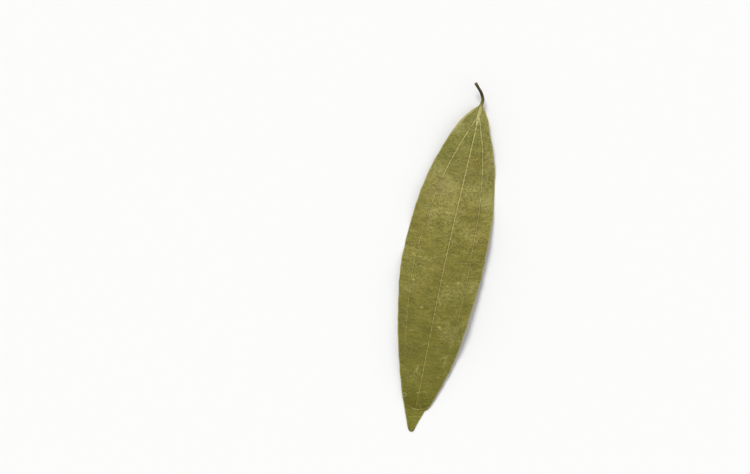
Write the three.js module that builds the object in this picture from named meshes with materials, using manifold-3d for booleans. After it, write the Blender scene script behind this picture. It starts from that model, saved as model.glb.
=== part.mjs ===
// One dried Indian bay leaf: a long pointed blade with three veins and a short hooked stalk.
// It lies underside down on its bent tip and on one low place of each margin.
// Millimetres, +Z up. +Y runs from the tip towards the stalk.
import * as THREE from 'three';
import Module from 'manifold-3d';

// Driving dimensions.
const bladeLength = 140;
const bladeThickness = 0.4;
const creaseDistance = 9.5; // from the tip: beyond this cross fold the tip lies flat
const stalkRadius = 0.62;
const stalkStart = 136.5; // where the cross-sections begin to follow the stalk
const roundFrom = 137; // the cross-section turns from flat to round between these distances
const roundTo = 141;

// Half-widths of the blade: [distance from the tip, left, right].
const outline = [
  [0, 0.5, 0.5], [0.7, 1.25, 1.15], [1.6, 1.75, 1.45], [4, 2.7, 2.1], [8, 4.3, 3.5], [9.5, 4.9, 4.1],
  [10.9, 5.4, 5.4], [15, 7.0, 6.9], [20, 8.6, 8.6], [32, 11.9, 12.1], [48, 15.2, 14.4], [72, 18.1, 16.4],
  [92, 17.5, 15.8], [108, 15.3, 13.4], [120, 12.0, 10.0], [130, 8.1, 5.9], [134, 5.7, 4.4],
  [137, 3.3, 2.6], [bladeLength, 0.9, 0.9],
];

// Side veins, as a fraction of the half-width: [distance from the tip, left, right].
const sideVeins = [
  [0, 0.8, 0.78], [50, 0.735, 0.7], [80, 0.68, 0.625], [100, 0.62, 0.595],
  [120, 0.47, 0.52], [130, 0.26, 0.33], [136, 0, 0],
];

// Height of the underside over the table: [distance from the tip, left margin, midrib, right margin].
const heights = [
  [creaseDistance, 0, 0, 0], [14, 0.65, 0.85, 0.6], [26, 1.6, 2.0, 1.5], [45, 2.4, 3.8, 3.1],
  [62, 1.6, 4.9, 3.6], [79, 0.4, 5.4, 3.3], [92, 1.1, 4.9, 2.0], [106, 2.0, 3.9, 0.3],
  [115, 2.4, 3.6, 1.1], [122, 2.7, 3.5, 1.9], [130, 2.8, 3.2, 2.6], [bladeLength, 2.6, 2.6, 2.6],
];

// How each half falls from the midrib: by a power of the way across, with a share of
// the fall that levels out at the margin. Waves along the margins are added to it, and
// each margin touches the table at its low place.
const halves = {
  left: { fallPower: 1.5, levelling: 0.3, lowPlace: 79, waveLength: 33, waveHeight: 0.7 },
  right: { fallPower: 1.3, levelling: 0.6, lowPlace: 106, waveLength: 39, waveHeight: 0.6 },
};

// The waves grow between the first two distances from the tip and die out between the others.
// They rise by a power of the way across, so the midrib stays still.
const waveEnds = { fadeIn: [creaseDistance, 40], fadeOut: [120, 136] };
const wavePower = 3;

// The midrib bows a little to the left.
const midribBow = 1.0;

// Veins stand out of both sides of the blade, more underneath.
const veinHalfWidth = 0.55;
const midribRidge = { top: 0.16, under: 0.42 };
const sideVeinRidge = { top: 0.1, under: 0.24 };
const veinsFadeFrom = 34; // they grow fainter from here towards the tip
const veinsFadeTo = 12;

// Path of the stalk's centre line: [right of the midrib's end, distance from the tip, rise].
// It hooks to the left as it rises.
const stalkPath = [
  [0.0, stalkStart, 0.0], [0.15, 139, 0.0], [0.4, 141.6, 0.35],
  [-0.8, 144.3, 0.9], [-2.55, 146.2, 1.6], [-4.3, 148.0, 2.2],
];

// A small round hole through the left half of the blade: [right of the midrib, distance from the tip].
const holeCentre = [-5.8, 14.6];
const holeRadius = 0.4;
const holeSides = 12;
const pinEnds = [-2, 6]; // heights between which the pin that cuts it stands

// Mesh density.
const tipRows = 6;
const tipCrowding = 1.3; // power that draws these rows towards the tip
const bladeRows = 46;
const endCrowding = 0.5; // from 0, evenly spaced, to 1, much closer together at both ends
const stalkRows = 12;

// Columns of the mesh across one half, as fractions of its width.
const widestRidge = 0.1; // a vein's ridge is never wider than this
const innermostVein = 0.32; // the side vein's columns never stand closer in than this
const marginColumn = 0.95; // column just inside the margin

// Smooth function through [distance, value] points that never overshoots them.
function curveThrough(points) {
  const steps = points.slice(1).map((point, i) => (point[1] - points[i][1]) / (point[0] - points[i][0]));
  const slopes = points.map((point, i) => {
    const before = steps[Math.max(i - 1, 0)];
    const after = steps[Math.min(i, steps.length - 1)];
    return before * after > 0 ? (2 * before * after) / (before + after) : 0;
  });
  return (distance) => {
    const last = points.length - 2;
    const found = points.findIndex((point, i) => i > 0 && distance <= point[0]);
    const i = found < 0 ? last : found - 1;
    const width = points[i + 1][0] - points[i][0];
    const t = THREE.MathUtils.clamp((distance - points[i][0]) / width, 0, 1);
    const rise = points[i + 1][1] - points[i][1];
    const ease = t * t * (3 - 2 * t);
    const startPart = t * (1 - t) * (1 - t) * width * slopes[i];
    const endPart = t * t * (t - 1) * width * slopes[i + 1];
    return points[i][1] + rise * ease + startPart + endPart;
  };
}

const column = (table, index) => curveThrough(table.map((row) => [row[0], row[index]]));
const halfWidth = { left: column(outline, 1), right: column(outline, 2) };
const veinFraction = { left: column(sideVeins, 1), right: column(sideVeins, 2) };
const marginHeight = { left: column(heights, 1), right: column(heights, 3) };
const midribHeight = column(heights, 2);
const sideOf = (x) => (x < 0 ? 'left' : 'right');

const midribOffset = (y) => -midribBow * Math.sin((Math.PI * y) / bladeLength) ** 2;

// Height of the underside, without its veins, at x from the midrib.
function undersideHeight(x, y) {
  if (y <= creaseDistance) return 0;
  const side = sideOf(x);
  const { fallPower, levelling, lowPlace, waveLength, waveHeight } = halves[side];
  const across = Math.min(Math.abs(x) / halfWidth[side](y), 1);
  const middle = midribHeight(y);
  const levelled = THREE.MathUtils.smoothstep(across, 0, 1);
  const fall = THREE.MathUtils.lerp(across ** fallPower, levelled, levelling);
  const wave = -waveHeight * Math.cos((2 * Math.PI * (y - lowPlace)) / waveLength);
  const fadedIn = THREE.MathUtils.smoothstep(y, ...waveEnds.fadeIn);
  const fadedOut = THREE.MathUtils.smoothstep(y, ...waveEnds.fadeOut);
  const growth = fadedIn * (1 - fadedOut);
  return middle + (marginHeight[side](y) - middle) * fall + wave * growth * across ** wavePower;
}

// Relief of the midrib and the side veins at x from the midrib.
function veinRelief(x, y, face) {
  const side = sideOf(x);
  const sideVein = veinFraction[side](y) * halfWidth[side](y);
  const ridge = (offset) => Math.max(1 - Math.abs(offset) / veinHalfWidth, 0);
  const fade = THREE.MathUtils.smoothstep(y, veinsFadeTo, veinsFadeFrom);
  const middle = midribRidge[face] * ridge(x);
  const beside = sideVeinRidge[face] * ridge(Math.abs(x) - sideVein);
  return fade * Math.max(middle, beside);
}

// Columns of one half of the blade, from the midrib to the margin, in mm.
function columnsOfHalf(side, y) {
  const width = halfWidth[side](y);
  const ridge = Math.min(veinHalfWidth, widestRidge * width);
  const vein = Math.max(veinFraction[side](y), innermostVein) * width;
  const inner = (ridge + vein) / 2;
  const edge = marginColumn * width;
  const outer = (vein + ridge + edge) / 2;
  return [ridge, inner, vein - ridge, vein, vein + ridge, outer, edge, width];
}

// One closed cross-section as [x, height] pairs: over the top from the left margin to the
// right margin, then back underneath. The heights are above the table.
function bladeSection(y) {
  const left = columnsOfHalf('left', y).reverse().map((x) => -x);
  const across = [...left, 0, ...columnsOfHalf('right', y)];
  const last = across.length - 1;
  const top = across.map((x, i) => {
    const base = undersideHeight(x, y);
    const onMargin = i === 0 || i === last;
    return [x, base + (onMargin ? bladeThickness / 2 : bladeThickness + veinRelief(x, y, 'top'))];
  });
  const under = across.slice(1, last).reverse().map((x) => [
    x, undersideHeight(x, y) - veinRelief(x, y, 'under'),
  ]);
  return [...top, ...under];
}

// The stalk's round cross-section, with the same number of points in the same order.
function stalkSection(radius) {
  const count = bladeSection(bladeLength).length;
  return Array.from({ length: count }, (_, i) => {
    const angle = Math.PI - (2 * Math.PI * i) / count;
    return [radius * Math.cos(angle), radius * Math.sin(angle)];
  });
}

// Rows of points, tip to blade end, then along the stalk.
function leafRows() {
  const rows = [];
  const addBladeRow = (y) => {
    const middle = midribOffset(y);
    rows.push(bladeSection(y).map(([x, z]) => new THREE.Vector3(middle + x, y, Math.max(z, 0))));
  };
  for (let i = 0; i < tipRows; i += 1) {
    addBladeRow(creaseDistance * (i / tipRows) ** tipCrowding);
  }
  for (let i = 0; i < bladeRows; i += 1) {
    const even = i / bladeRows;
    const crowded = (1 - Math.cos(Math.PI * even)) / 2;
    const share = THREE.MathUtils.lerp(even, crowded, endCrowding);
    addBladeRow(THREE.MathUtils.lerp(creaseDistance, stalkStart, share));
  }
  const startHeight = midribHeight(stalkStart) + bladeThickness / 2;
  const pathPoints = stalkPath.map(([x, y, rise]) => new THREE.Vector3(x, y, startHeight + rise));
  const path = new THREE.CatmullRomCurve3(pathPoints);
  const up = new THREE.Vector3(0, 0, 1);
  for (let i = 0; i <= stalkRows; i += 1) {
    const centre = path.getPointAt(i / stalkRows);
    const along = path.getTangentAt(i / stalkRows);
    const across = new THREE.Vector3().crossVectors(along, up).normalize();
    const upwards = new THREE.Vector3().crossVectors(across, along);
    const roundness = THREE.MathUtils.smoothstep(centre.y, roundFrom, roundTo);
    const bladeY = Math.min(centre.y, bladeLength);
    const flat = bladeSection(bladeY).map(([x, z]) => [x, z - midribHeight(bladeY) - bladeThickness / 2]);
    const round = stalkSection(stalkRadius);
    rows.push(flat.map(([x, z], k) => {
      const acrossAmount = THREE.MathUtils.lerp(x, round[k][0], roundness);
      const upAmount = THREE.MathUtils.lerp(z, round[k][1], roundness);
      return centre.clone().addScaledVector(across, acrossAmount).addScaledVector(upwards, upAmount);
    }));
  }
  return rows;
}

// Skins the rows into one closed body, with a flat cap at the tip and at the stalk's cut end.
function skin(rows) {
  const count = rows[0].length;
  const positions = rows.flat();
  const triangles = [];
  for (let row = 0; row < rows.length - 1; row += 1) {
    for (let i = 0; i < count; i += 1) {
      const next = (i + 1) % count;
      const a = row * count + i;
      const b = row * count + next;
      const c = a + count;
      const d = b + count;
      triangles.push(a, b, c, b, d, c);
    }
  }
  const addCap = (row, isFirst) => {
    const centre = positions.length;
    const middle = rows[row].reduce((sum, point) => sum.add(point), new THREE.Vector3()).divideScalar(count);
    positions.push(middle);
    for (let i = 0; i < count; i += 1) {
      const a = row * count + i;
      const b = row * count + ((i + 1) % count);
      triangles.push(...(isFirst ? [centre, b, a] : [centre, a, b]));
    }
  };
  addCap(0, true);
  addCap(rows.length - 1, false);
  return { positions, triangles };
}

const wasm = await Module();
wasm.setup();

function solidFrom(positions, triangles) {
  const vertProperties = new Float32Array(positions.flatMap((point) => [point.x, point.y, point.z]));
  const triVerts = new Uint32Array(triangles);
  return new wasm.Manifold(new wasm.Mesh({ numProp: 3, vertProperties, triVerts }));
}

// A plain round pin through the blade, which is cut away to leave the hole.
function holePin() {
  const [x, y] = holeCentre;
  const rings = pinEnds.map((z) => Array.from({ length: holeSides }, (_, i) => {
    const angle = (2 * Math.PI * i) / holeSides;
    return new THREE.Vector3(x + holeRadius * Math.cos(angle), y + holeRadius * Math.sin(angle), z);
  }));
  const { positions, triangles } = skin(rings);
  return solidFrom(positions, triangles);
}

// Centres the leaf on the origin, with its lowest points on the table at z = 0.
function leafGeometry() {
  const { positions, triangles } = skin(leafRows());
  const leaf = solidFrom(positions, triangles).subtract(holePin()).getMesh();
  const geometry = new THREE.BufferGeometry();
  geometry.setAttribute('position', new THREE.BufferAttribute(new Float32Array(leaf.vertProperties), 3));
  geometry.setIndex(new THREE.BufferAttribute(new Uint32Array(leaf.triVerts), 1));
  geometry.computeBoundingBox();
  const { min, max } = geometry.boundingBox;
  geometry.translate(-(min.x + max.x) / 2, -(min.y + max.y) / 2, -min.z);
  geometry.computeVertexNormals();
  return geometry;
}

const driedLeaf = new THREE.MeshStandardMaterial({ color: 0x88803f, roughness: 0.62, metalness: 0 });
const bayLeaf = new THREE.Mesh(leafGeometry(), driedLeaf);
bayLeaf.name = 'bay_leaf';

const leaf = new THREE.Group();
leaf.add(bayLeaf);

export default leaf;
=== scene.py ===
import math

import bpy
import numpy as np
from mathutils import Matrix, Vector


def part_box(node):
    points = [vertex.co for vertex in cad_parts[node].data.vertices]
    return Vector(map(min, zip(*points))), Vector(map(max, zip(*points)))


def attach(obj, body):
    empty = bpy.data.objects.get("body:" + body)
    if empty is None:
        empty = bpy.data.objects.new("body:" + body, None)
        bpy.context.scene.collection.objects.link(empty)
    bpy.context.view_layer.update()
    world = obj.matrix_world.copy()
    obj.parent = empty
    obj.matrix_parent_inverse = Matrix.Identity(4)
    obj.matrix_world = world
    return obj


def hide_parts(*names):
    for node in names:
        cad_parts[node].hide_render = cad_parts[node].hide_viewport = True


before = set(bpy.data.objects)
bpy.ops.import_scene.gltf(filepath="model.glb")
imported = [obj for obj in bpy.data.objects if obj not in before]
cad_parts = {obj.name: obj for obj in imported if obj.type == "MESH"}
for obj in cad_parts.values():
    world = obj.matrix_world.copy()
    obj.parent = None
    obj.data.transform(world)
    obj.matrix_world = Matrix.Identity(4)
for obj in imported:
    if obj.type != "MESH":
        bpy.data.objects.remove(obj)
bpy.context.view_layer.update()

mm = 0.001

# One dried bay leaf: blade, veins and stalk in one skin. Sizes are in millimetres.
bayLeaf = {
    "bladeLength": 140,
    "thickness": 0.4,
    "creaseDistance": 9.5,     # from the tip to the cross fold, beyond which the tip lies flat
    "edgeRound": 0.2,          # how far in from the margin its rounding begins
    "edgeRoundShare": 0.2,     # and at most this share of the half-width
    # distance from the tip, half-width to the left and to the right
    "outline": [
        (0, 0.3, 0.3), (0.25, 0.95, 0.85), (0.7, 1.25, 1.15), (1.6, 1.75, 1.45), (4, 2.7, 2.1),
        (8, 4.3, 3.5), (9.5, 4.9, 4.1), (10.9, 5.4, 5.4), (15, 7.0, 6.9), (20, 8.6, 8.6),
        (32, 11.9, 12.1), (48, 15.2, 14.4), (72, 18.1, 16.4), (92, 17.5, 15.8), (108, 15.3, 13.4),
        (120, 12.0, 10.0), (130, 8.1, 5.9), (134, 5.7, 4.4), (137, 3.3, 2.6), (140, 0.9, 0.9),
    ],
    # distance from the tip, place of the side vein on each half as a share of the half-width
    "sideVeins": [
        (0, 0.8, 0.78), (50, 0.735, 0.7), (80, 0.68, 0.625), (100, 0.62, 0.595),
        (120, 0.47, 0.52), (130, 0.26, 0.33), (136, 0, 0),
    ],
    # distance from the tip, height of the underside at the left margin, midrib and right margin
    "heights": [
        (9.5, 0, 0, 0), (14, 0.65, 0.85, 0.6), (26, 1.6, 2.0, 1.5), (45, 2.4, 3.8, 3.1), (62, 1.6, 4.9, 3.6),
        (79, 0.4, 5.4, 3.3), (92, 1.1, 4.9, 2.0), (106, 2.0, 3.9, 0.3), (115, 2.4, 3.6, 1.1),
        (122, 2.7, 3.5, 1.9), (130, 2.8, 3.2, 2.6), (140, 2.6, 2.6, 2.6),
    ],
    # how the blade falls from midrib to margin: a power, and the share of the fall that levels out there
    "fall": {"left": (1.5, 0.3), "right": (1.3, 0.6)},
    "waves": {"left": (79, 33, 0.7), "right": (106, 39, 0.6)},   # low place, length, height
    "wavesGrow": (9.5, 40),    # the waves grow and die out between these distances from the tip
    "wavesFade": (120, 136),
    "wavePower": 3,            # how they grow from midrib to margin
    "midribBow": 1.0,          # how far the midrib bows to the left
    "veinsGrow": (12, 34),     # the veins' relief grows between these distances from the tip
    "veinsWiden": (60, 130),   # and their width between these, from this share of the full one
    "veinTipWidth": 0.6,
    "midrib": {"top": 0.12, "under": 0.4, "width": 0.24},
    "sideVein": {"top": 0.07, "under": 0.22, "width": 0.2},
    # the groove beside each vein: depth as a share of the vein's height, distance and width in vein widths
    "groove": (0.55, 2.3, 1.1),
    "deepestGroove": {"top": 0.08, "under": 0.2},
    "swell": (11, 0.8),        # size and height of the soft uneven swelling
    "swellGrows": (11, 30),
    "swellFades": (112, 132),
    "pucker": (3.2, 0.07),     # size and height of the small ripples between the veins
    "puckerStretch": 2.2,      # how much longer they are across the leaf
    "puckerSeed": 5,
    "puckersGrow": (10, 24),
    "puckersFade": (118, 134),
    "raggedEdge": (7, 0.14),   # size and depth of the margin's unevenness
    "raggedShape": (0.5, -0.65),   # its swing and its middle, as shares of the depth
    "raggedSeed": 11,
    "raggedGrows": (3, 20),
    "raggedFades": (126, 138),
    "marginRest": 0.04,        # least height of the top where a margin rests on the table
    "holeCentre": (-5.8, 14.6),
    "holeRadius": 0.4,
    "holeSides": 20,
    "smoothAngle": 50,         # degrees, sharper bends than this stay sharp
}
# the stalk's middle line: right of the midrib's end, distance from the tip, rise, and its radius
stalk = {
    "start": 136.5,
    "path": [
        (0.0, 136.5, 0.0, 0.66), (0.1, 139, 0.0, 0.7), (0.3, 141.6, 0.35, 0.66),
        (-0.85, 144.3, 0.9, 0.6), (-2.55, 146.2, 1.6, 0.58), (-4.25, 147.95, 2.2, 0.66),
    ],
    "roundBetween": (137, 141),
    "grooves": 5,
    "grooveDepth": 0.07,       # as a share of the radius
    "grooveTwist": 0.25,       # radians per mm
    "colourBetween": (137.5, 141.5),
}
# how finely the skin is divided: rings along the leaf, and columns from the midrib out to the margin
skin = {
    "tipRings": 40,
    "tipCrowding": 1.4,        # power that draws the tip's rings together
    "bladeRings": 440,
    "stalkRings": 60,
    "halfColumns": (4, 18, 6, 11, 5),   # on the ridge, up to the vein, over it, beyond it, round the edge
    "ridge": (0.6, 0.12),      # reach of the ridge's columns, and at most this share of the half-width
    "besideVein": (0.55, 0.1),  # the same for the vein's
    "innermostVein": 0.32,     # the vein's columns stay outside this share of the half-width
    "insideEdge": (0.86, 0.93),  # and inside these shares of what the edge leaves
}
print("sizes ready")


def curveThrough(points, column):
    # a smooth curve through the points that never overshoots them
    x = np.array([p[0] for p in points], float)
    v = np.array([p[column] for p in points], float)
    step = np.diff(v) / np.diff(x)
    before = np.concatenate([step[:1], step])
    after = np.concatenate([step, step[-1:]])
    product = before * after
    slope = np.where(product > 0, 2 * product / np.where(product > 0, before + after, 1), 0)

    def curve(at):
        at = np.clip(at, x[0], x[-1])
        i = np.clip(np.searchsorted(x, at) - 1, 0, len(x) - 2)
        width = x[i + 1] - x[i]
        t = (at - x[i]) / width
        ease = t * t * (3 - 2 * t)
        bend = t * (1 - t) * width * ((1 - t) * slope[i] - t * slope[i + 1])
        return v[i] + (v[i + 1] - v[i]) * ease + bend

    return curve


def smoothStep(low, high, value):
    t = np.clip((value - low) / (high - low), 0, 1)
    return t * t * (3 - 2 * t)


def growAndFade(along, grow, fade):
    # 0 near the tip, 1 along the blade and 0 again near the stalk
    return smoothStep(*grow, along) * (1 - smoothStep(*fade, along))


def ripples(across, along, size, seed, crosswise=1.0, count=16):
    # a seeded sum of waves of about that size, mostly from -1 to 1, stretched across the leaf by crosswise
    dice = np.random.default_rng(seed)
    total = np.zeros(np.broadcast(across, along).shape)
    for _ in range(count):
        angle = dice.uniform(0, math.tau)
        turns = dice.uniform(0.6, 1.5) / size
        phase = dice.uniform(0, math.tau)
        travel = across * math.cos(angle) / crosswise + along * math.sin(angle)
        total += np.sin(math.tau * turns * travel + phase)
    return total / math.sqrt(count)


leftSide, rightSide = 1, 2     # also their columns in "outline" and "sideVeins"
sideNames = {leftSide: "left", rightSide: "right"}
halfWidth = {side: curveThrough(bayLeaf["outline"], side) for side in (leftSide, rightSide)}
veinShare = {side: curveThrough(bayLeaf["sideVeins"], side) for side in (leftSide, rightSide)}
heightColumns = {leftSide: 1, rightSide: 3}
marginHeight = {side: curveThrough(bayLeaf["heights"], column) for side, column in heightColumns.items()}
midribHeight = curveThrough(bayLeaf["heights"], 2)


def raggedWidth(side, along):
    # the half-width with its unevenness, which only takes away
    size, depth = bayLeaf["raggedEdge"]
    swing, middle = bayLeaf["raggedShape"]
    farApart = 40.0      # mm, for the two margins to differ
    uneven = swing * ripples(side * farApart, along, size, bayLeaf["raggedSeed"], count=10) + middle
    ends = growAndFade(along, bayLeaf["raggedGrows"], bayLeaf["raggedFades"])
    return halfWidth[side](along) + depth * uneven * ends


def roundedEdge(width):
    return np.minimum(bayLeaf["edgeRound"], bayLeaf["edgeRoundShare"] * width)


def columnsOfHalf(side, along):
    # where the skin's columns stand on one half, from the midrib out: close together along veins and edge
    width = raggedWidth(side, along)
    ridgeReach, ridgeShare = skin["ridge"]
    veinReach, veinReachShare = skin["besideVein"]
    innerLimit, outerLimit = skin["insideEdge"]
    ridge = np.minimum(ridgeReach, ridgeShare * width)
    vein = np.maximum(veinShare[side](along), skin["innermostVein"]) * width
    beside = np.minimum(veinReach, veinReachShare * width)
    edge = roundedEdge(width)
    innerSide = np.minimum(vein - beside, innerLimit * (width - edge))
    outerSide = np.minimum(vein + beside, outerLimit * (width - edge))
    stops = [np.zeros_like(width), ridge, innerSide, outerSide, width - edge, width]
    columns = []
    for number, count in enumerate(skin["halfColumns"]):
        steps = np.arange(1, count + 1) / count
        if number == len(skin["halfColumns"]) - 1:
            steps = np.sin(steps * math.pi / 2)   # evenly round the edge
        columns.append(stops[number] + (stops[number + 1] - stops[number]) * steps)
    return np.concatenate(columns, axis=1)


def undersideHeight(side, across, along):
    # the arch from midrib to margin, with the margin's waves
    share = np.clip(across / np.maximum(raggedWidth(side, along), 1e-6), 0, 1)
    lowPlace, length, height = bayLeaf["waves"][sideNames[side]]
    wave = -height * np.cos(math.tau * (along - lowPlace) / length)
    wave = wave * growAndFade(along, bayLeaf["wavesGrow"], bayLeaf["wavesFade"])
    middle = midribHeight(along)
    power, levelling = bayLeaf["fall"][sideNames[side]]
    fall = (1 - levelling) * share ** power + levelling * smoothStep(0, 1, share)
    arch = middle + (marginHeight[side](along) - middle) * fall
    return arch + wave * share ** bayLeaf["wavePower"]


def veinRelief(side, across, along, face):
    # how far the veins stand out of that face, with a groove along both sides of each
    tipWidth = bayLeaf["veinTipWidth"]
    widening = tipWidth + (1 - tipWidth) * smoothStep(*bayLeaf["veinsWiden"], along)
    depth, distance, spread = bayLeaf["groove"]
    vein = veinShare[side](along) * raggedWidth(side, along)
    relief = np.zeros(np.broadcast(across, along).shape)
    for kind, gap in (("midrib", across), ("sideVein", across - vein)):
        width = bayLeaf[kind]["width"] * widening
        ridge = np.exp(-(gap / width) ** 2)
        groove = np.exp(-((np.abs(gap) - distance * width) / (spread * width)) ** 2)
        relief = relief + bayLeaf[kind][face] * (ridge - depth * groove)
    # the grooves of the two faces never meet through the blade
    return np.maximum(relief * smoothStep(*bayLeaf["veinsGrow"], along), -bayLeaf["deepestGroove"][face])


def puckers(side, across, along):
    # small ripples that run across the leaf, held down at the veins
    size, height = bayLeaf["pucker"]
    width = raggedWidth(side, along)
    leastShare = 0.05
    vein = np.maximum(veinShare[side](along), leastShare) * width
    inner = np.sin(math.pi * np.clip(across / vein, 0, 1))
    outer = np.clip((across - vein) / np.maximum(width - vein, 1e-6), 0, 1) ** 0.7
    held = np.where(across < vein, inner, outer)
    farApart = 60        # mm, for the two halves to differ
    stretch = bayLeaf["puckerStretch"]
    shape = ripples(across + farApart * side, along, size, bayLeaf["puckerSeed"], crosswise=stretch)
    return height * shape * held * growAndFade(along, bayLeaf["puckersGrow"], bayLeaf["puckersFade"])


def stalkFrame():
    # the stalk's middle line and radius, and which way is right and up along it
    steps = np.linspace(0, len(stalk["path"]) - 1, skin["stalkRings"])
    numbered = [(i, *point) for i, point in enumerate(stalk["path"])]
    line = np.stack([curveThrough(numbered, column)(steps) for column in (1, 2, 3)], axis=1)
    line[:, 2] += float(midribHeight(stalk["start"])) + bayLeaf["thickness"] / 2
    radius = curveThrough(numbered, 4)(steps)
    heading = np.gradient(line, axis=0)
    heading = heading / np.linalg.norm(heading, axis=1, keepdims=True)
    heading[0] = (0, 1, 0)
    rightwards = np.cross(heading, (0, 0, 1))
    rightwards = rightwards / np.linalg.norm(rightwards, axis=1, keepdims=True)
    return line, radius, rightwards, np.cross(rightwards, heading)


def facesOfHalf(side, along):
    # heights of both faces over one half, and how far each place is from the margin and the side vein
    across = columnsOfHalf(side, along)
    width = raggedWidth(side, along)
    edge = roundedEdge(width)
    intoEdge = np.clip((across - (width - edge)) / edge, 0, 1)
    halfThick = bayLeaf["thickness"] / 2 * np.sqrt(1 - intoEdge ** 2)
    middle = undersideHeight(side, across, along) + bayLeaf["thickness"] / 2 + puckers(side, across, along)
    onBlade = 1 - intoEdge
    return {
        "across": across,
        "top": middle + halfThick + veinRelief(side, across, along, "top") * onBlade,
        "under": middle - halfThick - veinRelief(side, across, along, "under") * onBlade,
        "edge": width - across,
        "vein": across - veinShare[side](along) * width,
    }


def facesOfMidrib(along):
    # the same for the line between the halves
    zero = np.zeros_like(along)
    height = midribHeight(along)
    return {
        "across": zero,
        "top": height + bayLeaf["thickness"] + veinRelief(leftSide, zero, along, "top"),
        "under": height - veinRelief(leftSide, zero, along, "under"),
        "edge": raggedWidth(leftSide, along),
        "vein": -veinShare[leftSide](along) * raggedWidth(leftSide, along),
    }


def layOutSkin():
    # rings from the tip to the stalk's end, each running over the top to the right and back underneath
    crease, start = bayLeaf["creaseDistance"], stalk["start"]
    tipPart = crease * np.linspace(0, 1, skin["tipRings"], endpoint=False) ** skin["tipCrowding"]
    bladePart = np.linspace(crease, start, skin["bladeRings"], endpoint=False)
    bladeAlong = np.concatenate([tipPart, bladePart])
    bow = -bayLeaf["midribBow"] * np.sin(math.pi * bladeAlong / bayLeaf["bladeLength"]) ** 2
    bladeLine = np.stack([bow, bladeAlong, midribHeight(bladeAlong) + bayLeaf["thickness"] / 2], axis=1)
    bladeRings = len(bladeLine)

    stalkLine, stalkRadius, stalkRight, stalkUp = stalkFrame()
    line = np.concatenate([bladeLine, stalkLine])
    radius = np.concatenate([np.full(bladeRings, stalkRadius[0]), stalkRadius])[:, None]
    rightwards = np.concatenate([np.tile((1.0, 0, 0), (bladeRings, 1)), stalkRight])
    upwards = np.concatenate([np.tile((0, 0, 1.0), (bladeRings, 1)), stalkUp])

    distance = line[:, 1:2]
    along = np.minimum(distance, bayLeaf["bladeLength"])
    left, right = facesOfHalf(leftSide, along), facesOfHalf(rightSide, along)
    midrib = facesOfMidrib(along)

    def around(overTop, underneath, leftSign=1):
        over = [leftSign * left[overTop][:, ::-1], midrib[overTop], right[overTop]]
        back = [right[underneath][:, -2::-1], midrib[underneath], leftSign * left[underneath][:, :-1]]
        return np.concatenate(over + back, axis=1)

    across = around("across", "across", leftSign=-1)
    rise = around("top", "under") - line[:, 2:3]
    count = across.shape[1]
    # the blade's flat section turns into the stalk's round one
    turn = math.pi - math.tau * np.arange(count) / count
    twist = stalk["grooveTwist"] * distance
    grooved = 1 + stalk["grooveDepth"] * np.cos(stalk["grooves"] * turn + twist)
    roundness = smoothStep(*stalk["roundBetween"], distance)
    sidewaysOut = across + (radius * grooved * np.cos(turn) - across) * roundness
    riseOut = rise + (radius * grooved * np.sin(turn) - rise) * roundness
    place = line[:, None, :] + sidewaysOut[:, :, None] * rightwards[:, None, :]
    place = place + riseOut[:, :, None] * upwards[:, None, :]

    # 1 underneath, 0 on top and a half along both margins
    half = count // 2
    below = np.zeros_like(across)
    below[:, half + 1:] = 1
    below[:, half] = below[:, 0] = 0.5
    facts = {
        "across": across,
        "along": np.repeat(distance, count, axis=1),
        "midribGap": np.abs(across),
        "veinGap": np.abs(around("vein", "vein")),
        "marginGap": around("edge", "edge"),
        "underside": below,
        "stalkPart": np.repeat(smoothStep(*stalk["colourBetween"], distance), count, axis=1),
    }
    return place, facts


def nothingSelected():
    if bpy.context.object and bpy.context.object.mode != "OBJECT":
        bpy.ops.object.mode_set(mode="OBJECT")
    bpy.ops.object.select_all(action="DESELECT")


def placesOf(piece):
    places = np.zeros(len(piece.data.vertices) * 3)
    piece.data.vertices.foreach_get("co", places)
    return places.reshape(-1, 3)


def swellBlade(leaf, facts):
    # soft uneven swelling, up and down only, that dies out at the flat tip and at the stalk
    size, height = bayLeaf["swell"]
    loose = leaf.vertex_groups.new(name="loose")
    weights = growAndFade(facts["along"], bayLeaf["swellGrows"], bayLeaf["swellFades"])
    levels = 10
    for level in range(1, levels + 1):
        members = np.flatnonzero(np.rint(weights * levels) == level)
        loose.add(members.tolist(), level / levels, "REPLACE")
    clouds = bpy.data.textures.new("swellClouds", "CLOUDS")
    clouds.noise_scale = size * mm
    clouds.noise_depth = 1
    bpy.ops.object.modifier_add(type="DISPLACE")
    swell = leaf.modifiers[-1]
    swell.texture = clouds
    swell.texture_coords = "LOCAL"
    swell.direction = "Z"
    swell.vertex_group = loose.name
    swell.strength = height * mm
    bpy.ops.object.modifier_apply(modifier=swell.name)


def pierceBlade(leaf, centre):
    # a small round hole: a thin pin is pushed through the blade and cut away
    nothingSelected()
    sides, radius, length = bayLeaf["holeSides"], bayLeaf["holeRadius"] * mm, 20 * mm
    bpy.ops.mesh.primitive_cylinder_add(vertices=sides, radius=radius, depth=length, location=centre)
    pin = bpy.context.object
    bpy.ops.object.transform_apply(location=True, rotation=True, scale=True)
    nothingSelected()
    leaf.select_set(True)
    bpy.context.view_layer.objects.active = leaf
    bpy.ops.object.modifier_add(type="BOOLEAN")
    cut = leaf.modifiers[-1]
    cut.operation = "DIFFERENCE"
    cut.object = pin
    bpy.ops.object.modifier_apply(modifier=cut.name)
    bpy.data.objects.remove(pin)


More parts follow.
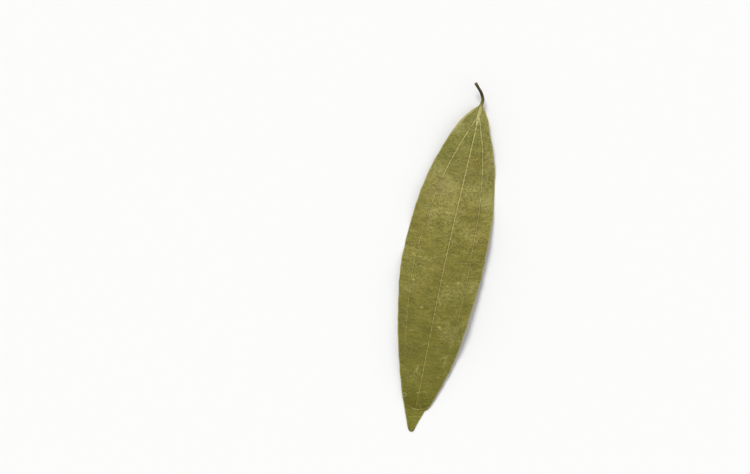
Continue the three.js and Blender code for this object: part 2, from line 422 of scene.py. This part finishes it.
def closeSkin():
    # the seam is sewn and both ends are closed
    bpy.ops.object.mode_set(mode="EDIT")
    bpy.ops.mesh.select_all(action="SELECT")
    bpy.ops.mesh.remove_doubles(threshold=0.0005 * mm)
    bpy.ops.mesh.select_mode(type="EDGE")
    bpy.ops.mesh.select_all(action="DESELECT")
    bpy.ops.mesh.select_non_manifold()
    bpy.ops.mesh.edge_face_add()
    bpy.ops.mesh.select_all(action="SELECT")
    bpy.ops.mesh.normals_make_consistent(inside=False)
    bpy.ops.object.mode_set(mode="OBJECT")


def modelLeaf():
    place, facts = layOutSkin()
    rings, count = place.shape[:2]
    nothingSelected()
    # a flat grid, one row of vertices for each ring, is rolled round so that its long edges meet
    bpy.ops.mesh.primitive_grid_add(x_subdivisions=count, y_subdivisions=rings - 1, size=1)
    leaf = bpy.context.object
    leaf.name = leaf.data.name = "driedBayLeaf"
    flat = placesOf(leaf)
    column = np.rint((flat[:, 0] + 0.5) * count).astype(int) % count
    ring = np.rint((flat[:, 1] + 0.5) * (rings - 1)).astype(int)
    skinPlace = place[ring, column] * mm
    low, high = skinPlace.min(axis=0), skinPlace.max(axis=0)
    cadLow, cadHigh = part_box("bay_leaf")
    # centred over the CAD leaf
    shiftX = (cadLow.x + cadHigh.x - low[0] - high[0]) / 2
    shiftY = (cadLow.y + cadHigh.y - low[1] - high[1]) / 2
    leaf.data.vertices.foreach_set("co", (skinPlace + (shiftX, shiftY, 0)).ravel())
    facts = {name: values[ring, column] for name, values in facts.items()}
    for name, values in facts.items():
        layer = leaf.data.attributes.new(name, "FLOAT", "POINT")
        layer.data.foreach_set("value", values.astype(np.float32))
    swellBlade(leaf, facts)
    # nothing goes below the table, and where a margin rests on it the top stays clear of the underside
    settled = placesOf(leaf)
    settled[:, 2] = np.maximum(settled[:, 2], (1 - facts["underside"]) * bayLeaf["marginRest"] * mm)
    leaf.data.vertices.foreach_set("co", settled.ravel())
    closeSkin()
    holeAcross, holeAlong = bayLeaf["holeCentre"]
    pierceBlade(leaf, (holeAcross * mm + shiftX, holeAlong * mm + shiftY, 0))
    bpy.ops.object.shade_smooth_by_angle(angle=math.radians(bayLeaf["smoothAngle"]))
    return leaf


leaf = modelLeaf()
print("leaf modelled:", len(leaf.data.polygons), "faces")


class Wire:
    # an output socket that can be added, multiplied and so on; each sum becomes a Math node
    def __init__(self, socket):
        self.socket = socket

    def __add__(self, other):
        return mathNode(self.socket.id_data, "ADD", self, other)

    def __sub__(self, other):
        return mathNode(self.socket.id_data, "SUBTRACT", self, other)

    def __rsub__(self, other):
        return mathNode(self.socket.id_data, "SUBTRACT", other, self)

    def __mul__(self, other):
        return mathNode(self.socket.id_data, "MULTIPLY", self, other)

    def __truediv__(self, other):
        return mathNode(self.socket.id_data, "DIVIDE", self, other)

    __radd__ = __add__
    __rmul__ = __mul__


def addNode(tree, kind, settings, values, output=0):
    node = tree.nodes.new(kind)
    for name, value in settings.items():
        if name == "stops":
            ramp = node.color_ramp.elements
            while len(ramp) < len(value):
                ramp.new(0.5)
            for element, (position, colour) in zip(ramp, value):
                element.position = position
                element.color = colour
        else:
            setattr(node, name, value)
    for name, value in values.items():
        if isinstance(value, Wire):
            tree.links.new(value.socket, node.inputs[name])
        else:
            node.inputs[name].default_value = value
    return Wire(node.outputs[output])


def mathNode(tree, operation, *values):
    return addNode(tree, "ShaderNodeMath", {"operation": operation}, dict(enumerate(values)))


def vectorMath(tree, operation, first, second, output="Vector"):
    return addNode(tree, "ShaderNodeVectorMath", {"operation": operation}, {0: first, 1: second}, output)


def scaled(tree, vector, amount):
    values = {0: vector, "Scale": amount}
    return addNode(tree, "ShaderNodeVectorMath", {"operation": "SCALE"}, values, "Vector")


def attributeOf(tree, name):
    return addNode(tree, "ShaderNodeAttribute", {"attribute_name": name}, {}, "Fac")


def noise(tree, place, size, detail=3, roughness=0.55):
    values = {"Vector": place, "Scale": 1 / size, "Detail": detail, "Roughness": roughness}
    return addNode(tree, "ShaderNodeTexNoise", {"noise_dimensions": "3D"}, values)


def cellDistance(tree, place, size):
    # distance to the nearest of the points scattered one to a cell
    values = {"Vector": place, "Scale": 1 / size}
    return addNode(tree, "ShaderNodeTexVoronoi", {"feature": "F1"}, values, "Distance")


def between(tree, value, low, high, lowResult=0, highResult=1):
    # eases from one result to the other while the value goes from low to high
    values = {"Value": value, "From Min": low, "From Max": high, "To Min": lowResult, "To Max": highResult}
    return addNode(tree, "ShaderNodeMapRange", {"interpolation_type": "SMOOTHSTEP"}, values, "Result")


def blend(tree, mask, first, second):
    # the numbers are those of the Mix node's colour sockets
    settings = {"data_type": "RGBA", "blend_type": "MIX", "clamp_factor": True}
    return addNode(tree, "ShaderNodeMix", settings, {0: mask, 6: first, 7: second}, 2)


def paint(red, green, blue):
    # a colour given as on a colour chart, 0 to 255
    shares = [channel / 255 for channel in (red, green, blue)]
    linear = [share / 12.92 if share <= 0.04045 else ((share + 0.055) / 1.055) ** 2.4 for share in shares]
    return (*linear, 1)


leafColours = {
    # distance from the tip in mm, colour of the upper side; the dark band from 10.5 to 14 mm, just above the
    # fold, is painted shade where the blade tilts away from the lamp
    "alongBlade": [
        (0, paint(116, 113, 38)), (8.5, paint(114, 110, 39)), (10.5, paint(94, 90, 23)),
        (14, paint(101, 97, 28)), (20, paint(112, 108, 41)), (45, paint(113, 108, 42)),
        (60, paint(119, 113, 47)), (75, paint(119, 113, 47)), (88, paint(122, 115, 50)),
        (101, paint(127, 121, 57)), (112, paint(122, 117, 55)), (122, paint(125, 120, 56)),
        (138, paint(137, 132, 70)),
    ],
    "bladeEnd": 140,
    "brown": paint(104, 84, 26),
    "green": paint(88, 98, 34),
    "dark": paint(82, 77, 27),
    # painted shade for the grooves beside the veins
    "besideVein": paint(66, 61, 20),
    # dusty bloom, partly painted sheen
    "bloomAndSheen": paint(156, 149, 88),
    "vein": paint(192, 186, 120),
    "veinUpTip": paint(160, 153, 84),
    # pale margin, partly painted highlight along the edge
    "rimHighlight": paint(168, 161, 104),
    "speck": paint(44, 36, 12),
    "fleck": paint(178, 170, 100),
    "underside": paint(140, 134, 82),
    "undersideVein": paint(128, 108, 52),
    "stalkDark": paint(56, 47, 24),
    "stalkGreen": paint(98, 92, 40),
    "cut": paint(92, 84, 48),
}
leafFinish = {
    "roughness": 0.58,
    "specular": 0.18,
    "bumpHeight": 0.0003,      # metres
    "netCell": 0.95,           # mm, cells of the net of veinlets
    # mm, how large the skin's patterns are, and how much longer some of them are across the leaf
    "sizes": {"blotches": 15, "patches": 7.5, "drift": 5, "mottle": 3.0, "beads": 1.3, "grain": 0.45},
    "drawnOut": 2,
    # how much the patterns darken and lighten the skin
    "shades": {"mottle": (0.89, 1.11), "net": 0.2, "grain": 0.5},
    "colourWander": 3.0,       # mm that the colours along the blade stray
    "ladderSpacing": 1.15,     # mm between the fine cross veins
    "ladderLean": 0.12,        # how much they run towards the tip on their way out
    "ladderWander": 4.5,       # mm
    "crossVeinSpacing": 7.5,   # mm between the few stronger cross veins
    "crossVeinLean": 0.45,
    "crossVeinWander": 14,
    "speckSpacing": 5.5,
    "fleckSpacing": 4.2,
    "speckReach": (0.03, 0.06),   # where a speck fades out, as shares of the spacing
    "fleckReach": (0.06, 0.12),
    "midribHalf": (0.11, 0.17),   # mm, half the pale line's width near the tip and near the stalk
    "midribFlare": 0.42,          # mm more where it runs into the stalk
    "sideVeinHalf": (0.05, 0.12),
    "sideVeinFlare": 0.08,
    # the pale margin, partly painted highlight where the edge catches the lamp, wider where it curls up on
    # the left beside the stalk
    "rimWidth": (0.14, 0.32),     # mm, near the tip and near the stalk
    "rimMore": (0.6, 0.14),       # mm more on the left beside the stalk and near the tip
    "holeRing": (0.75, 1.05),     # mm from the hole's middle, where its pale ring fades out
    # mm from the hole's middle, where its dark ring fades out: partly a brown edge, partly painted shade
    "holeShadeReach": (0.44, 0.64),
    "tipBrown": (0.35, 0.85),     # mm from the edge of the very tip
    "stalkDarkens": (141.2, 144.2),   # mm from the tip
    "stalkCut": (146.6, 147.6),
    "foldCurve": 0.065,        # the fold's ends bend away from the tip by this times the square of across
    "crookedness": 0.8,        # mm, of the single streaks
    "crooksPerMm": 0.45,
    "patchDarkening": 0.84,         # brightness of the darkest patches
    # how strongly each layer covers what lies under it
    "strengths": {
        "brown": 0.45, "green": 0.3, "dark": 0.3, "dustAndSheen": 0.55, "ladder": 0.19, "ladderAtTip": 0.1,
        "crossVein": 0.35, "vein": 0.92, "fold": 0.6, "speck": 0.75, "fleck": 0.55,
    },
    # how much each layer stands out, as a share of bumpHeight, except specks, which are pits
    "relief": {
        "net": 0.3, "ladder": 0.2, "crossVein": 0.4, "streak": 0.4, "grain": 0.16, "mottle": 0.9,
        "fold": 0.3, "speck": 0.4,
    },
    # single pale streaks, mostly cross veins: where each begins and ends, as across and distance
    # from the tip, its half-width and its strength
    "streaks": [
        ((-0.3, 76), (-7.2, 71.6), 0.16, 0.5), ((-2.9, 92.8), (-8, 91.8), 0.22, 0.6),
        ((11.6, 87.6), (16, 85.6), 0.2, 0.35), ((0.4, 88.5), (9, 84.4), 0.14, 0.3),
        ((0.4, 110.6), (4.6, 112.4), 0.14, 0.3), ((-0.4, 62), (-8.5, 58.2), 0.14, 0.3),
        ((0.4, 64.5), (8, 60.4), 0.14, 0.3), ((0.3, 50), (7.5, 45.8), 0.14, 0.3),
        ((-0.4, 38), (-6.6, 33.5), 0.14, 0.25), ((0.3, 104), (6.4, 100.8), 0.14, 0.3),
        ((-0.5, 118), (-6, 113.5), 0.14, 0.35), ((-2, 16.4), (3, 17.6), 0.18, 0.5),
        ((2.6, 45.4), (3.4, 45), 0.3, 0.8), ((8.4, 34), (7.6, 30.4), 0.2, 0.35),
        ((-1.6, 6), (3.6, 7), 0.16, 0.4), ((0.5, 57), (1.6, 54.6), 0.22, 0.5),
        ((-2.4, 27.6), (-2.8, 25.6), 0.26, 0.4), ((-3.8, 24.4), (-2.8, 23.2), 0.26, 0.25),
    ],
    # and dark ones
    "darkStreaks": [
        ((-11, 44.3), (-0.8, 46.3), 0.16, 0.45), ((0.6, 80.5), (7, 76), 0.18, 0.3),
        ((-4.6, 55.6), (-0.8, 56.4), 0.2, 0.4), ((-5.4, 10.4), (-2.4, 9.7), 0.4, 0.5),
        ((3.2, 40.6), (6, 38.8), 0.2, 0.3),
    ],
    # dusty pale patches, partly painted sheen: across, distance from the tip, reach, strength; below zero
    # for darker ones
    "dustAndSheenPatches": [
        (-6, 104.8, 4.2, 1.0), (3.2, 105, 4, 0.4), (12.5, 101, 5, 0.8), (-13, 110, 4, 0.9),
        (-4, 94, 10, 0.5), (11, 104, 5, 0.5), (-9, 76, 7, 0.1), (8, 84, 8, 0.4), (7.5, 60, 7, 0.4),
        (-6, 63, 6, 0.3), (-4.2, 24.5, 4, 0.55), (4.4, 12.6, 3, 0.45), (-8, 129.5, 5, 1.2),
        (-14, 46, 6, -1.1), (-10.5, 33, 6, -0.6), (-4, 34, 7, -0.4), (3.5, 130, 4, -0.9),
        (-7, 121, 5, -0.45), (-6, 113.5, 3.5, -0.5), (10, 45, 7, 0.6), (10, 30, 6, 0.3),
        (11, 113, 5, 0.9), (9, 121, 4, 0.8), (-16, 58, 5, 0.4), (14, 64, 5, 0.4),
    ],
}


def streakMask(tree, place, start, end, reach, strength):
    # soft line from start to end, both given as across and distance from the tip
    run = (end[0] - start[0], end[1] - start[1], 0)
    fromStart = vectorMath(tree, "SUBTRACT", place, (*start, 0))
    reached = vectorMath(tree, "DOT_PRODUCT", fromStart, run, "Value")
    reached = addNode(tree, "ShaderNodeClamp", {}, {"Value": reached / (run[0] ** 2 + run[1] ** 2)})
    gap = vectorMath(tree, "DISTANCE", fromStart, scaled(tree, run, reached), "Value")
    return between(tree, gap, reach * 0.4, reach * 2, strength, 0)


def leafTextures(tree):
    # where each point of the skin lies, and the patterns that several layers share
    names = ("across", "along", "midribGap", "veinGap", "marginGap", "underside", "stalkPart")
    at = {name: attributeOf(tree, name) for name in names}
    across, along = at["across"], at["along"]
    otherFace = at["underside"] * 40      # far enough for the two faces to differ
    drawnOut = across * (1 / leafFinish["drawnOut"])
    place = addNode(tree, "ShaderNodeCombineXYZ", {}, {"X": across, "Y": along, "Z": otherFace})
    crosswise = addNode(tree, "ShaderNodeCombineXYZ", {}, {"X": drawnOut, "Y": along, "Z": otherFace})
    at["place"], at["crosswise"] = place, crosswise
    sizes = leafFinish["sizes"]
    at["blotches"] = noise(tree, place, sizes["blotches"], 2)
    at["mottle"] = noise(tree, crosswise, sizes["mottle"], 3, 0.5)
    at["patches"] = noise(tree, place, sizes["patches"], 4, 0.62)
    at["grain"] = noise(tree, place, sizes["grain"], 2, 0.6)
    at["drift"] = noise(tree, crosswise, sizes["drift"], 2)
    # broken dashes along the veins, the same on both faces
    flatPlace = addNode(tree, "ShaderNodeCombineXYZ", {}, {"X": drawnOut, "Y": along})
    at["beads"] = noise(tree, flatPlace, sizes["beads"], 2)
    # where the net and grain show most
    crispPatches = between(tree, noise(tree, place, 13, 1), 0.4, 0.6, 0.45, 1.0)
    at["crisp"] = crispPatches * between(tree, along, 48, 76, 0.9, 1.45)
    return at


def veinletLayers(tree, at):
    # a net of veinlets, finer ladder lines across it and a few stronger cross veins
    along, midribGap = at["along"], at["midribGap"]
    values = {"Vector": at["place"], "Scale": 1 / leafFinish["netCell"], "Smoothness": 0.4}
    cells = addNode(tree, "ShaderNodeTexVoronoi", {"feature": "SMOOTH_F1"}, values, "Distance")
    net = between(tree, cells, 0.25, 0.65)
    wander = at["drift"] - 0.5
    ladderPlace = along - midribGap * leafFinish["ladderLean"] + wander * leafFinish["ladderWander"]
    ladderTurn = mathNode(tree, "PINGPONG", ladderPlace / leafFinish["ladderSpacing"], 0.5)
    ladder = between(tree, ladderTurn, 0.0, 0.3, 1, 0)
    ladder = ladder * between(tree, noise(tree, at["crosswise"], 2.6, 3), 0.42, 0.6)
    crossPlace = along - midribGap * leafFinish["crossVeinLean"] + wander * leafFinish["crossVeinWander"]
    crossTurn = mathNode(tree, "PINGPONG", crossPlace, leafFinish["crossVeinSpacing"] / 2)
    crossVein = between(tree, crossTurn, 0.05, 0.34, 1, 0) * between(tree, at["patches"], 0.45, 0.62)
    return net, ladder, crossVein


def dustAndSheenLayers(tree, at, net):
    # the dusty bloom, partly a painted sheen, and patches where the skin is darker
    amount = 0
    for patchAcross, patchAlong, reach, strength in leafFinish["dustAndSheenPatches"]:
        gap = vectorMath(tree, "DISTANCE", at["place"], (patchAcross, patchAlong, 0), "Value")
        amount = amount + between(tree, gap, 0, reach * 1.6, strength, 0)
    patchDarkening = between(tree, amount, -1, 0, leafFinish["patchDarkening"], 1)
    uneven = (net - 0.5) * 0.1 + (at["grain"] - 0.5) * 0.12
    dustAndSheen = between(tree, amount * 0.5 + at["patches"] + uneven, 0.55, 1.0)
    return dustAndSheen, patchDarkening


def bladeColour(tree, at, dustAndSheen):
    # the colour along the blade, browner, greener and darker in places, with the dusty bloom, partly painted
    # sheen, over it
    strengths, blotches = leafFinish["strengths"], at["blotches"]
    stops = [(distance / leafColours["bladeEnd"], colour) for distance, colour in leafColours["alongBlade"]]
    wander = at["along"] + (at["mottle"] - 0.5) * leafFinish["colourWander"]
    share = wander / leafColours["bladeEnd"]
    colour = addNode(tree, "ShaderNodeValToRGB", {"stops": stops}, {0: share}, "Color")
    brownMask = between(tree, blotches, 0.52, 0.75, 0, strengths["brown"])
    colour = blend(tree, brownMask, colour, leafColours["brown"])
    greenMask = between(tree, blotches, 0.48, 0.28, 0, strengths["green"])
    colour = blend(tree, greenMask, colour, leafColours["green"])
    darkMask = between(tree, at["patches"], 0.48, 0.3, 0, strengths["dark"])
    colour = blend(tree, darkMask, colour, leafColours["dark"])
    return blend(tree, dustAndSheen * strengths["dustAndSheen"], colour, leafColours["bloomAndSheen"])


def veinMasks(tree, at):
    # the midrib and the side veins, widest and palest at the base, and painted shade in the grooves beside
    # them, darker left of the midrib
    across, along, grain, beads = at["across"], at["along"], at["grain"], at["beads"]
    midribHalf = between(tree, along, 10, 139, *leafFinish["midribHalf"])
    midribHalf = midribHalf + between(tree, along, 129.5, 134, 0, leafFinish["midribFlare"])
    midribEdge = at["midribGap"] - midribHalf + (grain - 0.5) * 0.12
    midribMask = between(tree, midribEdge, -0.05, 0.12, 1, 0) * between(tree, along, 3, 30, 0.1, 1)
    midribMask = midribMask * between(tree, beads, 0.36, 0.56, 0.55, 1)
    # painted shade in the grooves beside the midrib, darker on its left
    midribGrooveShade = between(tree, midribEdge, 0.08, 0.45, 1, 0) * between(tree, along, 15, 50)
    midribGrooveShade = midribGrooveShade * between(tree, across, -0.05, 0.1, 1, 0.35)
    midribGrooveShade = midribGrooveShade * between(tree, beads, 0.6, 0.4, 0.45, 1)

    veinHalf = between(tree, along, 25, 136, *leafFinish["sideVeinHalf"])
    veinHalf = veinHalf + between(tree, along, 95, 130, 0, leafFinish["sideVeinFlare"])
    veinEdge = at["veinGap"] - veinHalf + (grain - 0.5) * 0.14
    veinMask = between(tree, veinEdge, -0.05, 0.12, 1, 0) * between(tree, along, 22, 46)
    veinMask = veinMask * between(tree, at["mottle"], 0.36, 0.56, 0.5, 1)
    veinMask = veinMask * between(tree, beads, 0.38, 0.6, 0.65, 1)
    # painted shade in the grooves beside the side veins
    veinGrooveShade = between(tree, veinEdge, 0.08, 0.5, 1, 0) * between(tree, along, 40, 70)
    anyVein = mathNode(tree, "MAXIMUM", midribMask, veinMask)
    beside = mathNode(tree, "MAXIMUM", midribGrooveShade * 0.8, veinGrooveShade * 0.4)
    return anyVein, beside


def foldMaskOf(tree, at):
    # the pale line of the cross fold, fainter towards the right
    across = at["across"]
    curve = across * across * leafFinish["foldCurve"]
    foldGap = at["along"] - curve - bayLeaf["creaseDistance"] + (at["mottle"] - 0.5) * 0.6
    foldMask = between(tree, mathNode(tree, "ABSOLUTE", foldGap), 0.05, 0.3, 1, 0)
    foldMask = foldMask * between(tree, at["drift"], 0.35, 0.55, 0.3, 1)
    return foldMask * between(tree, across, -1, 4, 1, 0.45)


def streakLayers(tree, at):
    # the single pale and dark streaks, a little crooked
    values = {"Vector": at["place"], "Scale": leafFinish["crooksPerMm"], "Detail": 2}
    cloud = addNode(tree, "ShaderNodeTexNoise", {}, values, "Color")
    crooked = leafFinish["crookedness"]
    unevenPlace = vectorMath(tree, "ADD", at["place"], scaled(tree, cloud, 2 * crooked))
    unevenPlace = vectorMath(tree, "SUBTRACT", unevenPlace, (crooked, crooked, crooked))
    pale, dark = 0, 0
    for streak in leafFinish["streaks"]:
        pale = pale + streakMask(tree, unevenPlace, *streak)
    for streak in leafFinish["darkStreaks"]:
        dark = dark + streakMask(tree, unevenPlace, *streak)
    return pale, dark


def holeAndTip(tree, at, colour):
    # the hole's pale ring, its dark brown ring, partly painted shade that makes the hole look deeper, and
    # the brown edge of the very tip
    grain = at["grain"]
    holeGap = vectorMath(tree, "DISTANCE", at["place"], (*bayLeaf["holeCentre"], 0), "Value")
    holeGap = holeGap + (grain - 0.5) * 0.3
    ring = between(tree, holeGap, *leafFinish["holeRing"], 0.6, 0)
    colour = blend(tree, ring, colour, leafColours["fleck"])
    # painted shade round the hole, partly a brown edge
    holeShadeMask = between(tree, holeGap, *leafFinish["holeShadeReach"], 1, 0)
    colour = blend(tree, holeShadeMask, colour, leafColours["speck"])
    tipGap = at["marginGap"] + at["along"] * 0.15 + (grain - 0.5) * 0.3
    return blend(tree, between(tree, tipGap, *leafFinish["tipBrown"], 0.9, 0), colour, leafColours["speck"])


def rimHighlightOver(tree, at, colour):
    # a pale margin, partly painted highlight where the edge catches the lamp, widest on the left beside the
    # stalk, where the margin curls up towards the light
    across, along = at["across"], at["along"]
    leftBase = between(tree, across, -0.5, -3) * between(tree, along, 121, 131)
    leftTip = between(tree, across, -1, -3) * between(tree, along, 36, 60, 1, 0)
    baseMore, tipMore = leafFinish["rimMore"]
    rimReach = between(tree, along, 60, 135, *leafFinish["rimWidth"])
    rimReach = rimReach + leftBase * baseMore + leftTip * tipMore
    rimHighlightMask = between(tree, at["marginGap"] + (at["grain"] - 0.5) * 0.25 - rimReach, 0, 0.24, 1, 0)
    return blend(tree, rimHighlightMask * (leftBase * 0.35 + 0.6), colour, leafColours["rimHighlight"])


def stalkColour(tree, at):
    # green at the blade, dark along its length, paler at the cut end
    along, green = at["along"], leafColours["stalkGreen"]
    colour = blend(tree, between(tree, along, *leafFinish["stalkDarkens"]), green, leafColours["stalkDark"])
    colour = blend(tree, between(tree, along, *leafFinish["stalkCut"]), colour, leafColours["cut"])
    greenPlaces = between(tree, noise(tree, at["crosswise"], 1.5, 3), 0.4, 0.7, 0, 0.45)
    return blend(tree, greenPlaces, colour, green)


def makeLeafMaterial():
    material = bpy.data.materials.new("driedLeafSkin")
    material.use_nodes = True
    tree = material.node_tree
    strengths, shades, relief = leafFinish["strengths"], leafFinish["shades"], leafFinish["relief"]
    at = leafTextures(tree)
    along, mottle, grain, crisp = at["along"], at["mottle"], at["grain"], at["crisp"]
    net, ladder, crossVein = veinletLayers(tree, at)
    dustAndSheen, patchDarkening = dustAndSheenLayers(tree, at, net)

    colour = bladeColour(tree, at, dustAndSheen)
    shade = between(tree, mottle, 0.25, 0.75, *shades["mottle"]) * patchDarkening
    shade = shade * (1 + (net - 0.5) * crisp * shades["net"]) * (1 + (grain - 0.5) * crisp * shades["grain"])
    colour = scaled(tree, colour, shade)
    ladderStrength = between(tree, along, 40, 80, strengths["ladderAtTip"], strengths["ladder"])
    colour = blend(tree, ladder * ladderStrength, colour, leafColours["fleck"])
    colour = blend(tree, crossVein * strengths["crossVein"], colour, leafColours["fleck"])

    anyVein, beside = veinMasks(tree, at)
    veinColour = blend(tree, between(tree, along, 20, 138), leafColours["veinUpTip"], leafColours["vein"])
    # painted shade in the grooves beside the veins
    colour = blend(tree, beside, colour, leafColours["besideVein"])
    colour = blend(tree, anyVein * strengths["vein"], colour, veinColour)

    foldMask = foldMaskOf(tree, at)
    colour = blend(tree, foldMask * strengths["fold"], colour, leafColours["fleck"])
    pale, dark = streakLayers(tree, at)
    colour = blend(tree, dark * between(tree, grain, 0.3, 0.6, 0.6, 1.0), colour, leafColours["dark"])
    colour = blend(tree, pale * between(tree, grain, 0.3, 0.6, 0.5, 1.0), colour, leafColours["fleck"])
    colour = holeAndTip(tree, at, colour)
    colour = rimHighlightOver(tree, at, colour)

    # scattered dark specks and pale flecks
    speckCells = cellDistance(tree, at["place"], leafFinish["speckSpacing"])
    speckMask = between(tree, speckCells, *leafFinish["speckReach"], 1, 0)
    speckMask = speckMask * between(tree, noise(tree, at["place"], 14, 1), 0.5, 0.56)
    colour = blend(tree, speckMask * strengths["speck"], colour, leafColours["speck"])
    fleckCells = cellDistance(tree, at["crosswise"], leafFinish["fleckSpacing"])
    fleckMask = between(tree, fleckCells + (grain - 0.5) * 0.08, *leafFinish["fleckReach"], 1, 0)
    fleckMask = fleckMask * between(tree, at["patches"], 0.46, 0.6)
    colour = blend(tree, fleckMask * strengths["fleck"], colour, leafColours["fleck"])

    # underside: paler and greyer, with browner veins
    underColour = blend(tree, anyVein, leafColours["underside"], leafColours["undersideVein"])
    underColour = scaled(tree, underColour, shade)
    colour = blend(tree, between(tree, at["underside"], 0.45, 0.55), colour, underColour)
    colour = blend(tree, at["stalkPart"], colour, stalkColour(tree, at))

    # relief: veinlets, streaks and grain stand out of the soft mottle, specks are pits
    height = net * relief["net"] + ladder * relief["ladder"] + crossVein * relief["crossVein"]
    height = height + pale * relief["streak"] + grain * crisp * relief["grain"] + mottle * relief["mottle"]
    height = height + foldMask * relief["fold"] - speckMask * relief["speck"]
    bump = addNode(tree, "ShaderNodeBump", {}, {"Distance": leafFinish["bumpHeight"], "Height": height})
    roughness = leafFinish["roughness"] + (mottle - 0.5) * 0.25 + dustAndSheen * 0.1 - anyVein * 0.05
    shader = tree.nodes["Principled BSDF"]
    shader.inputs["Specular IOR Level"].default_value = leafFinish["specular"]
    tree.links.new(colour.socket, shader.inputs["Base Color"])
    tree.links.new(roughness.socket, shader.inputs["Roughness"])
    tree.links.new(bump.socket, shader.inputs["Normal"])
    return material


leaf.data.materials.append(makeLeafMaterial())
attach(leaf, "root")
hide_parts("bay_leaf")
print("leaf painted")

studio = {
    "floorSize": 14.0,
    "floorColour": (0.87, 0.87, 0.865, 1),
    "floorRoughness": 0.9,
    "skyLow": 0.93,            # brightness of the sky at the horizon and overhead
    "skyHigh": 0.42,
    "skyColour": (1, 1, 1, 1),
    # direction each lamp shines from, how wide it looks in degrees, and its strength
    "lamps": {"keyLamp": ((-0.42, 0.72, 0.85), 22, 2.5), "fillLamp": ((0.8, -0.3, 0.8), 50, 0.35)},
}


def addLamp(name, fromDirection, width, strength):
    nothingSelected()
    bpy.ops.object.light_add(type="SUN", location=fromDirection)
    lamp = bpy.context.object
    lamp.name = name
    lamp.data.angle = math.radians(width)
    lamp.data.energy = strength
    lamp.rotation_mode = "QUATERNION"
    lamp.rotation_quaternion = lamp.location.to_track_quat("Z", "Y")


def buildStudio():
    nothingSelected()
    bpy.ops.mesh.primitive_plane_add(size=studio["floorSize"], location=(0, 0, 0))
    floor = bpy.context.object
    floor.name = "studioFloor"
    material = bpy.data.materials.new("paleFloor")
    material.use_nodes = True
    shader = material.node_tree.nodes["Principled BSDF"]
    shader.inputs["Base Color"].default_value = studio["floorColour"]
    shader.inputs["Roughness"].default_value = studio["floorRoughness"]
    shader.inputs["Specular IOR Level"].default_value = 0
    floor.data.materials.append(material)
    world = bpy.data.worlds.new("paleSky")
    bpy.context.scene.world = world
    world.use_nodes = True
    tree = world.node_tree
    direction = addNode(tree, "ShaderNodeTexCoord", {}, {}, "Generated")
    upwards = addNode(tree, "ShaderNodeSeparateXYZ", {}, {0: direction}, "Z")
    brightness = between(tree, upwards, 0.0, 0.6, studio["skyLow"], studio["skyHigh"])
    sky = tree.nodes["Background"]
    sky.inputs["Color"].default_value = studio["skyColour"]
    tree.links.new(brightness.socket, sky.inputs["Strength"])
    for name, settings in studio["lamps"].items():
        addLamp(name, *settings)


# looks straight down, turned so that the leaf leans as it lies
view = {
    "aim": (-29.9, 2.3, 4.0),    # mm
    "frameWidth": 312.8,         # mm seen across the frame at the leaf
    "lens": 85,
    "sensor": 36,
    "lean": 12.1,                # degrees
}


def addCamera():
    nothingSelected()
    aimX, aimY, aimZ = [value * mm for value in view["aim"]]
    distance = view["frameWidth"] * mm * view["lens"] / view["sensor"]
    turned = (0, 0, math.radians(view["lean"]))
    bpy.ops.object.camera_add(location=(aimX, aimY, aimZ + distance), rotation=turned)
    camera = bpy.context.object
    camera.data.lens = view["lens"]
    camera.data.sensor_width = view["sensor"]
    camera.data.clip_start = 0.01
    bpy.context.scene.camera = camera
    bpy.context.scene.view_settings.view_transform = "Standard"


buildStudio()
addCamera()
print("studio and camera ready")
